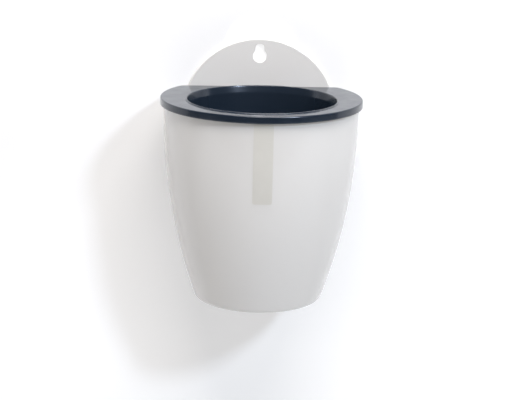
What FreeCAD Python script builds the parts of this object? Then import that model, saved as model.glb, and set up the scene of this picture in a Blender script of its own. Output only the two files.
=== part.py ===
import FreeCAD, Part
import math
import os

# Hanging wall vase: a white flat-backed pot, a dark lift-out basket and a blank film label.
# Millimetres, +Z up. The origin is the screw seat of the keyhole, on the wall plane y = 0.
# The vase stands in front of the wall, towards -Y.

# Basket flange, a disc with a flat back edge
flange_width = 160.0
flange_back = 47.8  # flat edge, behind the pot's axis
flange_thickness = 1.8
flange_edge_round = 0.9
flange_corner_round = 7.0
front_rim_width = 10.3  # flange between the mouth and the front edge
skirt_height = 5.5  # flange top to the skirt's lower edge
skirt_wall = 1.6
skirt_clearance = 1.4  # skirt to the pot's rim, all round

# Basket cup
basket_wall = 1.4
basket_floor = 1.8
lip_height = 0.8  # rounded lip round the mouth, above the flange
collar_depth = 4.8  # flared band below the flange's top
collar_flare = 1.4  # the band draws in by this
cup_side_clearance = 3.6  # cup to the pot's wall, at the cup's foot
cup_back_clearance = 0.45  # cup to the pot's flat back
cup_base_round = 7.0

# Basket drainage
wick_hole_diameter = 7.0
floor_slot_count = 8
floor_slot_width = 3.0
floor_slot_length = 16.0
floor_slot_ring = 27.0  # cup's middle to the slots' middles
wall_slot_count = 12
wall_slot_width = 3.0
wall_slot_height = 22.0
wall_slot_rise = 9.0  # cup floor to the slots' lower ends

# Outer pot
pot_height = 161.6
pot_draw_in = 26.4  # rim radius less base radius
pot_bulge = 7.5  # how far the side's arc stands out from a straight line
pot_wall = 2.2
pot_floor = 2.6
pot_base_round = 4.5
pot_inner_round = 6.0
rim_round = 0.6
back_edge_round = 1.6  # where the round side meets the flat back
reservoir_height = 47.0  # pot floor to basket floor
foot_ring_width = 6.0  # flat ring that the pot stands on
foot_recess = 1.0

# Hanging plate and keyhole
plate_thickness = 2.5
plate_radius = 63.0
plate_rise = 38.7  # top of the plate above the flange
plate_edge_round = 0.8
ear_drop = 16.0  # how far the plate's ears reach below the rim
ear_run = 7.0  # how far they run in over that drop
seat_rise = 31.0  # screw seat above the flange
seat_above_entry = 6.4
entry_diameter = 11.0
neck_width = 7.0

# Blank label
label_width = 15.0
label_height = 62.5
label_thickness = 0.2
label_below_skirt = 1.0
label_corner_round = 1.5
label_left = 1.2  # its middle, left of the pot's middle

overrun = 5.0  # how far a cutting solid passes a face
tolerance = 0.000001  # within which an edge lies in a plane

# Heights, from the screw seat
flange_top = -seat_rise
flange_under = flange_top - flange_thickness
rim_top = flange_under
skirt_bottom = flange_top - skirt_height
lip_top = flange_top + lip_height
collar_bottom = flange_top - collar_depth
pot_bottom = rim_top - pot_height
pot_floor_top = pot_bottom + pot_floor
cup_bottom = pot_floor_top + reservoir_height
cup_floor_top = cup_bottom + basket_floor
plate_top = flange_top + plate_rise
plate_centre = plate_top - plate_radius
label_top = skirt_bottom - label_below_skirt
label_bottom = label_top - label_height

# Radii and places in plan
flange_radius = flange_width / 2
pot_rim_radius = flange_radius - skirt_wall - skirt_clearance
pot_base_radius = pot_rim_radius - pot_draw_in
mouth_radius = (flange_radius - front_rim_width + flange_back) / 2
mouth_forward = flange_radius - front_rim_width - mouth_radius
cup_top_radius = mouth_radius - collar_flare
lip_radius = basket_wall / 2
plate_front = -plate_thickness
pot_axis = plate_front - cup_back_clearance - basket_wall - flange_back
mouth_axis = pot_axis - mouth_forward
flange_back_edge = pot_axis + flange_back

UP = FreeCAD.Vector(0, 0, 1)
BACK = FreeCAD.Vector(0, 1, 0)


def at(x, y, z):
    return FreeCAD.Vector(x, y, z)


def line(start, end):
    return Part.LineSegment(start, end).toShape()


def arc(start, middle, end):
    return Part.Arc(start, middle, end).toShape()


def outline(points):
    """Closed polygon face through the points."""
    return Part.Face(Part.makePolygon(points + points[:1]))


def revolved(edges, axis_y):
    """Full turn of a closed profile about the upright axis at y = axis_y."""
    face = Part.Face(Part.Wire(edges))
    return face.revolve(at(0, axis_y, 0), UP, 360)


def cylinder(radius, bottom, top, axis_y):
    return Part.makeCylinder(radius, top - bottom, at(0, axis_y, bottom), UP)


def rounded(solid, radius, chosen):
    """The solid with its edges of one choice rounded."""
    return solid.makeFillet(radius, [edge for edge in solid.Edges if chosen(edge)])


def level(edge, height):
    """Whether an edge lies in the horizontal plane at that height."""
    return max(abs(edge.BoundBox.ZMin - height), abs(edge.BoundBox.ZMax - height)) < tolerance


def upright(edge):
    """Whether an edge is a vertical line."""
    return edge.BoundBox.ZLength > max(edge.BoundBox.XLength, edge.BoundBox.YLength)


def on_wall(edge):
    """Whether an edge lies in the wall plane."""
    return max(abs(edge.BoundBox.YMin), abs(edge.BoundBox.YMax)) < tolerance


def side_circle():
    """Radius and centre of the arc down the pot's side, in the plane x >= 0 through the pot's axis."""
    rim = at(pot_rim_radius, pot_axis, rim_top)
    base = at(pot_base_radius, pot_axis, pot_bottom)
    chord = rim - base
    radius = (chord.Length ** 2 / 4 + pot_bulge ** 2) / (2 * pot_bulge)
    outwards = at(chord.z, 0, -chord.x).normalize()
    return radius, (rim + base) / 2 - outwards * (radius - pot_bulge)


def side_radius(height, outside=0.0):
    """Distance from the pot's axis to its side at a height, or to a skin that far outside it."""
    radius, centre = side_circle()
    return centre.x + math.sqrt((radius + outside) ** 2 - (height - centre.z) ** 2)


def side_arc(bottom, top, outside=0.0):
    """The side's arc between two heights, in the plane x >= 0 through the pot's axis."""
    heights = (bottom, (bottom + top) / 2, top)
    return arc(*[at(side_radius(height, outside), pot_axis, height) for height in heights])


def base_arc(bottom, radius, outside=0.0):
    """Arc that rounds the corner between a level floor and the side, from the floor to the side."""
    side, side_centre = side_circle()
    centre = at(side_radius(bottom + radius, outside - radius), pot_axis, bottom + radius)
    on_floor = centre - UP * radius
    on_side = side_centre + (centre - side_centre).normalize() * (side + outside)
    between = (on_floor + on_side - centre * 2).normalize()
    return arc(on_floor, centre + between * radius, on_side)


def side_solid(bottom, top, outside=0.0, base_round=0.0):
    """Solid of revolution inside the side's arc, with flat ends and, if asked, a rounded base."""
    foot, head = at(0, pot_axis, bottom), at(0, pot_axis, top)
    side_bottom = bottom
    edges = []
    if base_round:
        edges.append(base_arc(bottom, base_round, outside))
        side_bottom = edges[0].Vertexes[1].Z
    edges.append(side_arc(side_bottom, top, outside))
    start, end = edges[0].Vertexes[0].Point, edges[-1].Vertexes[1].Point
    return revolved([line(foot, start)] + edges + [line(end, head), line(head, foot)], pot_axis)


def half_space(front, bottom, top):
    """Block that covers everything between a front plane and well behind the wall."""
    reach = flange_radius + overrun
    return Part.makeBox(2 * reach, reach, top - bottom, at(-reach, front, bottom))


def pot_body():
    """Round tapering body with a flat back, still solid."""
    body = side_solid(pot_bottom, rim_top, base_round=pot_base_round)
    body = body.cut(half_space(0, pot_bottom - overrun, rim_top + overrun))
    body = rounded(body, back_edge_round, lambda edge: on_wall(edge) and not level(edge, rim_top))
    return rounded(body, rim_round, lambda edge: level(edge, rim_top) and not on_wall(edge))


def pot_cavity():
    """Space inside the pot, from its floor up through the mouth."""
    cavity = side_solid(pot_floor_top, rim_top, -pot_wall, pot_inner_round)
    mouth = cylinder(side_radius(rim_top, -pot_wall), rim_top, rim_top + overrun, pot_axis)
    return cavity.fuse(mouth).cut(half_space(plate_front, pot_floor_top - overrun, rim_top + 2 * overrun))


def base_recess():
    """Shallow recess inside the ring that the pot stands on."""
    ring_radius = side_radius(pot_bottom + pot_base_round, -pot_base_round)
    return cylinder(ring_radius - foot_ring_width, pot_bottom - overrun, pot_bottom + foot_recess, pot_axis)


def mirrored(point):
    """The point's twin on the left of the middle."""
    return at(-point.x, point.y, point.z)


def plate_face():
    """Arched outline with straight ears that run in to the edges of the pot's flat back."""
    shoulder = at(math.sqrt(plate_radius ** 2 - (rim_top - plate_centre) ** 2), 0, rim_top)
    foot = shoulder - at(ear_run, 0, ear_drop)
    edges = [
        arc(mirrored(shoulder), at(0, 0, plate_top), shoulder),
        line(shoulder, foot),
        line(foot, mirrored(foot)),
        line(mirrored(foot), mirrored(shoulder)),
    ]
    return Part.Face(Part.Wire(edges))


def with_hanging_plate(body):
    """The body with the hanging plate let into its back."""
    outline_face = plate_face()
    pocket = outline_face.extrude(at(0, overrun, 0)).fuse(outline_face.extrude(at(0, plate_front, 0)))
    plate = outline_face.extrude(at(0, plate_front, 0))
    plate = rounded(plate, plate_edge_round, lambda edge: edge.BoundBox.ZMax > rim_top + tolerance)
    return body.cut(pocket).fuse(plate)


def keyhole():
    """Round entry for the screw's head, with a neck up to the seat."""
    depth = plate_thickness + 2 * overrun
    start = plate_front - overrun
    entry = Part.makeCylinder(entry_diameter / 2, depth, at(0, start, -seat_above_entry), BACK)
    seat = Part.makeCylinder(neck_width / 2, depth, at(0, start, 0), BACK)
    neck = Part.makeBox(neck_width, depth, seat_above_entry, at(-neck_width / 2, start, -seat_above_entry))
    return entry.fuse([seat, neck])


def outer_pot():
    solid = with_hanging_plate(pot_body())
    return solid.cut(pot_cavity()).cut(base_recess()).cut(keyhole()).removeSplitter()


def flange():
    """D-shaped plate with rounded corners and a skirt that hangs outside the pot's rim."""
    disc = cylinder(flange_radius, skirt_bottom, flange_top, pot_axis)
    disc = disc.cut(half_space(flange_back_edge, skirt_bottom - overrun, flange_top + overrun))
    middle = pot_axis + flange_back / 2
    disc = rounded(disc, flange_corner_round, lambda edge: upright(edge) and edge.BoundBox.YMax > middle)
    disc = rounded(disc, flange_edge_round, lambda edge: level(edge, flange_top))
    skirt_inside = pot_rim_radius + skirt_clearance
    return disc.cut(cylinder(skirt_inside, skirt_bottom - overrun, flange_under, pot_axis))


def cup_foot_radius():
    """Inside radius of the cup's foot, from the pot's wall beside it."""
    pot_inside = side_radius(cup_bottom, -pot_wall)
    return pot_inside - cup_side_clearance - basket_wall - mouth_forward


def cup():
    """Tapered cup with a flared collar and a rounded lip, in one turned section."""
    foot = cup_foot_radius()

    def section(radius, height):
        return at(radius, mouth_axis, height)

    outside = [
        section(0, cup_bottom),
        section(foot + basket_wall, cup_bottom),
        section(cup_top_radius + basket_wall, collar_bottom),
        section(mouth_radius + basket_wall, lip_top - lip_radius),
    ]
    inside = [
        section(mouth_radius, lip_top - lip_radius),
        section(cup_top_radius, collar_bottom),
        section(foot, cup_floor_top),
        section(0, cup_floor_top),
        section(0, cup_bottom),
    ]
    lip = arc(outside[-1], section(mouth_radius + lip_radius, lip_top), inside[0])
    edges = Part.makePolygon(outside).Edges + [lip] + Part.makePolygon(inside).Edges
    shell = revolved(edges, mouth_axis)
    shell = rounded(shell, cup_base_round, lambda edge: level(edge, cup_floor_top))
    return rounded(shell, cup_base_round + basket_wall, lambda edge: level(edge, cup_bottom))


def slot(width, length, depth, middle, along, through):
    """Cutter with rounded ends, long in one direction and cutting in another."""
    across = along.cross(through)
    half_run = (length - width) / 2
    near, far = middle - along * half_run, middle + along * half_run
    side = across * (width / 2)
    sides = outline([near - side, far - side, far + side, near + side]).extrude(through * depth)
    ends = [Part.makeCylinder(width / 2, depth, end, through) for end in (near, far)]
    return sides.fuse(ends)


def turned_copies(cutter, count):
    """Copies of a cutter, evenly spaced round the cup's axis."""
    copies = []
    for index in range(count):
        copy = cutter.copy()
        copy.rotate(at(0, mouth_axis, 0), UP, 360 * index / count)
        copies.append(copy)
    return copies


def drainage():
    """Wick hole and radial slots in the cup's floor, upright slots low in its wall."""
    outwards = FreeCAD.Vector(1, 0, 0)
    start = cup_bottom - overrun
    floor_depth = basket_floor + 2 * overrun
    wick_hole = cylinder(wick_hole_diameter / 2, start, start + floor_depth, mouth_axis)
    floor_middle = at(floor_slot_ring, mouth_axis, start)
    floor_slot = slot(floor_slot_width, floor_slot_length, floor_depth, floor_middle, outwards, UP)
    wall_slot_middle = cup_floor_top + wall_slot_rise + wall_slot_height / 2
    wall_middle = at(floor_slot_ring, mouth_axis, wall_slot_middle)
    wall_slot = slot(wall_slot_width, wall_slot_height, mouth_radius, wall_middle, UP, outwards)
    slots = turned_copies(floor_slot, floor_slot_count) + turned_copies(wall_slot, wall_slot_count)
    return [wick_hole] + slots


def inner_basket():
    mouth = cylinder(mouth_radius + lip_radius / 2, skirt_bottom - overrun, lip_top, mouth_axis)
    return flange().cut(mouth).fuse(cup()).removeSplitter().cut(drainage())


def front_label():
    """Thin skin of the pot's side, cut to a rectangle with rounded corners."""
    skin = side_solid(label_bottom, label_top, label_thickness).cut(side_solid(label_bottom, label_top))
    corner = at(-label_left - label_width / 2, pot_axis - flange_radius, label_bottom)
    patch = Part.makeBox(label_width, flange_radius, label_height, corner)
    patch = rounded(patch, label_corner_round, lambda edge: edge.BoundBox.YLength > label_height)
    return skin.common(patch)


def main():
    os.makedirs("parts", exist_ok=True)
    parts = {"outer_pot": outer_pot(), "inner_basket": inner_basket(), "front_label": front_label()}
    for name, shape in parts.items():
        shape.exportStep(f"parts/{name}.step")


main()
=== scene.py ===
import math

import bpy
from mathutils import Matrix, Vector

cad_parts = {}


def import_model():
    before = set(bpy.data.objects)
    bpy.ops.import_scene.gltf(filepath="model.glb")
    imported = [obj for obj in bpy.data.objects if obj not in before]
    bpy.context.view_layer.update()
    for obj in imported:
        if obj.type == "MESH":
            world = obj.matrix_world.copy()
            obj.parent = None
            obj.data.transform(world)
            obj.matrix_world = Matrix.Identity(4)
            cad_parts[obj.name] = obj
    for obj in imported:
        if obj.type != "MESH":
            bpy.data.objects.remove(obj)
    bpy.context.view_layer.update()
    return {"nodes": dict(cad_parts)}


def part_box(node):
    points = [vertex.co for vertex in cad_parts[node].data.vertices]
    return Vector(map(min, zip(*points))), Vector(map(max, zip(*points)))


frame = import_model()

# The hanging wall vase in the photograph's view: a white flat-backed pot, a dark lift-out basket and a blank
# film label, on a white wall. Metres, +Z up, the wall plane at y = 0.

# Camera, fitted to the mouth, the flange, the pot's sides and the keyhole in the 512 x 400 frame
IMAGE_WIDTH = 512
IMAGE_HEIGHT = 400
SENSOR_WIDTH = 36.0
FOCAL_PIXELS = 1600.0
CAMERA_AZIMUTH = math.radians(-2.4)
CAMERA_ELEVATION = math.radians(14.29)
CAMERA_ROLL = math.radians(1.2)
PIXELS_PER_METRE = 1265.0
AIM_PIXEL = (261.6, 97.0)  # where the flange's middle lies in the photograph
FLANGE_HEIGHT = -0.031  # the flange's top face, to which the camera is fitted
CLIP_NEAR = 0.05
CLIP_FAR = 20.0

# Stage
WALL_GAP = 0.0006  # the wall stands this far behind the vase's back
STAGE_HALF_WIDTH = 2.5
WALL_TOP = 1.0
FLOOR_HEIGHT = -0.60
FLOOR_DEPTH = 1.50
STAGE_COLOR = (0.94, 0.942, 0.955, 1)
STAGE_ROUGHNESS = 0.9
LIFT_BOTTOM = -0.26  # heights between which the glow painted on the wall for the camera and for reflections changes
LIFT_TOP = -0.08
# painted glow: strongest low on the wall, where it keeps the lit wall white and lightens the vase's shadow,
# and weakest above
LOW_PAINTED_GLOW = 0.20
HIGH_PAINTED_GLOW = 0.03
KEYHOLE_PAINTED_GLOW = 0.58  # glow painted on the wall round the frame's origin, which paints out the plate's shadow in the keyhole so that it looks nearly white
KEYHOLE_NEAR = 0.020  # distances from the origin between which that lift fades
KEYHOLE_FAR = 0.030

# Materials
NOISE_SPAN = (0.3, 0.7)  # the middle range of a noise, which is spread over a look's two ends
EDGE_RADIUS = 0.0016  # to which the basket's sharp edges look rounded
EDGE_SAMPLES = 16  # rays that look for an edge near each point

# Light: each lamp's direction is seen from the middle of the pot
KEY_DIRECTION = (0.74, -1.0, 0.85)
KEY_DISTANCE = 3.0
KEY_SIZE = 0.35
KEY_POWER = 31.0
KEY_COLOR = (0.79, 0.875, 1.0)
GLINT_DIRECTION = (0.85, -1.0, 0.85)  # the key's hot middle, which only reflections show
GLINT_SIZE = 0.12
GLINT_POWER = 38.0
SOFTBOX_DIRECTION = (0.07, -0.34, 1.0)
SOFTBOX_DISTANCE = 1.6
SOFTBOX_SIZE = 1.1
SOFTBOX_POWER = 33.5
SOFTBOX_COLOR = (1.0, 0.955, 0.915)
FILL_DIRECTION = (-1.0, -0.6, 0.3)
FILL_DISTANCE = 1.6
FILL_SIZE = 1.0
FILL_POWER = 1.0
FILL_COLOR = (1.0, 0.80, 0.66)
LIGHT_IN_FRONT = 0.44  # the room's even light from in front
LIGHT_BY_WALL = 0.80  # and from the wall's side
LIGHT_FROM_BELOW = 0.46  # share by which it grows downwards and fades upwards
LIGHT_SPAN = (-0.3, 0.3)  # from in front to the wall's side, as a direction's Y
SEEN_IN_FRONT = 0.08  # the room in front, as the camera and reflections see it
SEEN_BY_WALL = 1.0
SEEN_SPAN = (0.0, 0.35)

# Places read from the frame
pot_low, pot_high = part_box("outer_pot")
basket_low, basket_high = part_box("inner_basket")
flange_radius = (basket_high.x - basket_low.x) / 2
flange_middle = Vector((0, basket_low.y + flange_radius, FLANGE_HEIGHT))
pot_middle = Vector((0, flange_middle.y, (pot_low.z + flange_middle.z) / 2))


def camera():
    """Camera at the photograph's angle, distance and framing."""
    data = bpy.data.cameras.new("camera")
    data.sensor_width = SENSOR_WIDTH
    data.lens = FOCAL_PIXELS / IMAGE_WIDTH * SENSOR_WIDTH
    data.clip_start = CLIP_NEAR
    data.clip_end = CLIP_FAR
    eye = bpy.data.objects.new("camera", data)
    bpy.context.scene.collection.objects.link(eye)
    azimuth, elevation, roll = CAMERA_AZIMUTH, CAMERA_ELEVATION, CAMERA_ROLL
    back = Vector((
        math.sin(azimuth) * math.cos(elevation),
        -math.cos(azimuth) * math.cos(elevation),
        math.sin(elevation),
    ))
    level_right = Vector((math.cos(azimuth), math.sin(azimuth), 0))
    level_up = back.cross(level_right)
    right = level_right * math.cos(roll) + level_up * math.sin(roll)
    up = level_up * math.cos(roll) - level_right * math.sin(roll)
    aim_right = AIM_PIXEL[0] - IMAGE_WIDTH / 2
    aim_up = IMAGE_HEIGHT / 2 - AIM_PIXEL[1]
    place = flange_middle + (back * FOCAL_PIXELS - right * aim_right - up * aim_up) / PIXELS_PER_METRE
    eye.matrix_world = Matrix((
        (right.x, up.x, back.x, place.x),
        (right.y, up.y, back.y, place.y),
        (right.z, up.z, back.z, place.z),
        (0, 0, 0, 1),
    ))
    bpy.context.scene.camera = eye


class Graph:
    """The nodes of a material or a world, with short calls that add and join them."""

    def __init__(self, owner):
        owner.use_nodes = True
        self.nodes = owner.node_tree.nodes
        self.links = owner.node_tree.links

    def add(self, kind, inputs=(), **settings):
        """A node of a kind, with its settings and the values or links of its inputs."""
        node = self.nodes.new("ShaderNode" + kind)
        for name, value in settings.items():
            setattr(node, name, value)
        for socket, value in dict(inputs).items():
            self.put(node, socket, value)
        return node

    def put(self, node, socket, value):
        """Sets an input to a value, or joins it to another node's output."""
        if isinstance(value, bpy.types.NodeSocket):
            self.links.new(value, node.inputs[socket])
        else:
            node.inputs[socket].default_value = value

    def noise(self, scale, detail=2.0, stretch=(1, 1, 1)):
        """Noise of so many cells a metre, stretched along the axes."""
        where = self.add("TexCoord").outputs["Object"]
        spot = self.add("Mapping", {"Vector": where, "Scale": stretch}).outputs["Vector"]
        return self.add("TexNoise", {"Vector": spot, "Scale": scale, "Detail": detail}).outputs["Fac"]

    def ranged(self, source, span, ends):
        """A span of values mapped to two ends, each a value or a link."""
        sockets = ("From Min", "From Max", "To Min", "To Max")
        inputs = dict(zip(sockets, (*span, *ends)))
        return self.add("MapRange", {"Value": source, **inputs}).outputs["Result"]

    def between(self, source, low, high):
        """A colour that runs from low to high over a noise's middle range."""
        ramp = self.add("ValToRGB", {"Fac": source})
        for element, position, color in zip(ramp.color_ramp.elements, NOISE_SPAN, (low, high)):
            element.position = position
            element.color = (*color, 1)
        return ramp.outputs["Color"]

    def bump(self, source, height, below=None):
        """Relief of a height in metres, over another relief if there is one."""
        inputs = {"Height": source, "Distance": height}
        if below is not None:
            inputs["Normal"] = below
        return self.add("Bump", inputs).outputs["Normal"]

    def rounded(self, radius, relief):
        """Edges that look rounded to a radius in metres, under a relief."""
        inputs = {"Radius": radius, "Normal": relief}
        return self.add("Bevel", inputs, samples=EDGE_SAMPLES).outputs["Normal"]

    def looked_at(self):
        """1 for the camera's rays and for rays that reflections and clear pieces send, else 0."""
        path = self.add("LightPath").outputs
        rays = path["Is Camera Ray"]
        for kind in ("Is Glossy Ray", "Is Transmission Ray"):
            rays = self.add("Math", {0: rays, 1: path[kind]}, operation="MAXIMUM").outputs[0]
        return rays


class Look(Graph):
    """A new material's nodes, with its shader and its output."""

    def __init__(self, name):
        self.material = bpy.data.materials.new(name)
        super().__init__(self.material)
        self.shader = self.nodes["Principled BSDF"]
        self.output = self.nodes["Material Output"]

    def finish(self, **looks):
        """Sets the material's own shader, by the names of its inputs."""
        sockets = {
            "color": "Base Color",
            "roughness": "Roughness",
            "ior": "IOR",
            "normal": "Normal",
            "coat": "Coat Weight",
            "coat_roughness": "Coat Roughness",
            "tint": "Specular Tint",
        }
        for name, value in looks.items():
            self.put(self.shader, sockets[name], value)
        return self.material


def pot_plastic():
    """Glossy white moulded plastic, with a faint flow, a shallow wave and a fine skin."""
    graph = Look("pot_plastic")
    flow = graph.noise(9.0, detail=3.0, stretch=(1, 1, 0.45))
    wave = graph.bump(graph.noise(26.0, detail=1.0, stretch=(1, 1, 0.3)), height=0.00045)
    return graph.finish(
        color=graph.between(flow, (0.755, 0.742, 0.730), (0.785, 0.778, 0.772)),
        roughness=graph.ranged(graph.noise(60.0), NOISE_SPAN, (0.10, 0.16)),
        ior=1.5,
        normal=graph.bump(graph.noise(700.0), height=0.000004, below=wave),
    )


def basket_plastic():
    """Dark blue-black moulded plastic with soft edges, a gloss skin and faint upright flow lines."""
    graph = Look("basket_plastic")
    flow = graph.noise(6.0, detail=3.0)
    lines = graph.noise(90.0, stretch=(1, 1, 0.04))
    return graph.finish(
        color=graph.between(flow, (0.009, 0.015, 0.026), (0.012, 0.020, 0.033)),
        roughness=graph.ranged(lines, NOISE_SPAN, (0.20, 0.27)),
        ior=1.45,
        tint=(0.82, 0.88, 1.0, 1),
        coat=0.30,
        coat_roughness=0.05,
        normal=graph.rounded(EDGE_RADIUS, graph.bump(graph.noise(900.0), height=0.000004)),
    )


def label_film():
    """Satin film, a little warmer and darker than the pot."""
    graph = Look("label_film")
    return graph.finish(
        color=graph.between(graph.noise(90.0), (0.665, 0.650, 0.610), (0.685, 0.670, 0.630)),
        roughness=graph.ranged(graph.noise(300.0), NOISE_SPAN, (0.30, 0.38)),
        ior=1.48,
        normal=graph.bump(graph.noise(140.0, detail=3.0), height=0.00001),
    )


def stage_paint():
    """Pale matt paint, seen from its front only, with a glow painted on for the camera and for reflections.
    The glow is stronger lower down and strongest in the keyhole, and it lightens the vase's shadow.
    """
    graph = Look("stage_paint")
    where = graph.add("TexCoord").outputs["Object"]
    apart = graph.add("VectorMath", {0: where}, operation="LENGTH").outputs["Value"]
    # the keyhole's painted glow covers the plate's shadow on the wall behind it
    above = graph.ranged(apart, (KEYHOLE_NEAR, KEYHOLE_FAR), (KEYHOLE_PAINTED_GLOW, HIGH_PAINTED_GLOW))
    height = graph.add("SeparateXYZ", {0: where}).outputs["Z"]
    lift = graph.ranged(height, (LIFT_BOTTOM, LIFT_TOP), (LOW_PAINTED_GLOW, above))
    # a glow painted on the wall for the camera and for reflections, which lightens the vase's shadow, most
    # of all in the keyhole
    strength = graph.add("Math", {0: graph.looked_at(), 1: lift}, operation="MULTIPLY").outputs[0]
    glow = graph.add("Emission", {"Strength": strength})
    both = graph.add("AddShader", {0: graph.shader.outputs[0], 1: glow.outputs[0]})
    behind = graph.add("NewGeometry").outputs["Backfacing"]
    nothing = graph.add("BsdfTransparent").outputs[0]
    sides = graph.add("MixShader", {0: behind, 1: both.outputs[0], 2: nothing})
    graph.put(graph.output, "Surface", sides.outputs[0])
    return graph.finish(color=STAGE_COLOR, roughness=STAGE_ROUGHNESS)


def stage():
    """White wall behind the vase and a pale floor far below it, each seen from its front only."""
    back = pot_high.y + WALL_GAP
    near = back - FLOOR_DEPTH
    far_edge = (back, FLOOR_HEIGHT)
    edges = {"wall": (far_edge, (back, WALL_TOP)), "floor": ((near, FLOOR_HEIGHT), far_edge)}
    paint = stage_paint()
    for name, (first, second) in edges.items():
        mesh = bpy.data.meshes.new(name)
        points = [(-1, *first), (1, *first), (1, *second), (-1, *second)]
        mesh.from_pydata([(x * STAGE_HALF_WIDTH, y, z) for x, y, z in points], [], [(0, 1, 2, 3)])
        mesh.materials.append(paint)
        sheet = bpy.data.objects.new(name, mesh)
        bpy.context.scene.collection.objects.link(sheet)
        sheet.visible_shadow = False
        sheet.visible_diffuse = False


def lamp(name, direction, distance, size, power, color):
    """Square area lamp that faces the middle of the pot."""
    data = bpy.data.lights.new(name, "AREA")
    data.shape = "SQUARE"
    data.size = size
    data.energy = power
    data.color = color
    lamp_object = bpy.data.objects.new(name, data)
    towards = Vector(direction).normalized()
    lamp_object.location = pot_middle + towards * distance
    lamp_object.rotation_mode = "QUATERNION"
    lamp_object.rotation_quaternion = towards.to_track_quat("Z", "Y")
    bpy.context.scene.collection.objects.link(lamp_object)
    return lamp_object


def world():
    """Even studio light from a room that is brighter by the wall than in front of it."""
    sky = bpy.data.worlds.new("studio")
    bpy.context.scene.world = sky
    graph = Graph(sky)
    background = graph.nodes["Background"]
    axes = graph.add("SeparateXYZ", {0: graph.add("TexCoord").outputs["Generated"]}).outputs
    slope = graph.ranged(axes["Z"], (-1.0, 1.0), (1 + LIGHT_FROM_BELOW, 1 - LIGHT_FROM_BELOW))
    light = graph.ranged(axes["Y"], LIGHT_SPAN, (LIGHT_IN_FRONT, LIGHT_BY_WALL))
    lit = graph.add("Math", {0: light, 1: slope}, operation="MULTIPLY").outputs[0]
    room = graph.ranged(axes["Y"], SEEN_SPAN, (SEEN_IN_FRONT, SEEN_BY_WALL))
    graph.put(background, "Strength", graph.ranged(graph.looked_at(), (0.0, 1.0), (lit, room)))
    graph.put(background, "Color", (1, 1, 1, 1))


def dress(node, material):
    """Gives a carried-over node its material."""
    mesh = frame["nodes"][node].data
    mesh.materials.clear()
    mesh.materials.append(material)


bpy.context.scene.view_settings.view_transform = "Standard"
camera()
world()
stage()
lamp("key", KEY_DIRECTION, KEY_DISTANCE, KEY_SIZE, KEY_POWER, KEY_COLOR)
lamp("glint", GLINT_DIRECTION, KEY_DISTANCE, GLINT_SIZE, GLINT_POWER, KEY_COLOR).visible_diffuse = False
lamp("softbox", SOFTBOX_DIRECTION, SOFTBOX_DISTANCE, SOFTBOX_SIZE, SOFTBOX_POWER, SOFTBOX_COLOR)
lamp("fill", FILL_DIRECTION, FILL_DISTANCE, FILL_SIZE, FILL_POWER, FILL_COLOR).visible_glossy = False
dress("outer_pot", pot_plastic())
dress("inner_basket", basket_plastic())
dress("front_label", label_film())
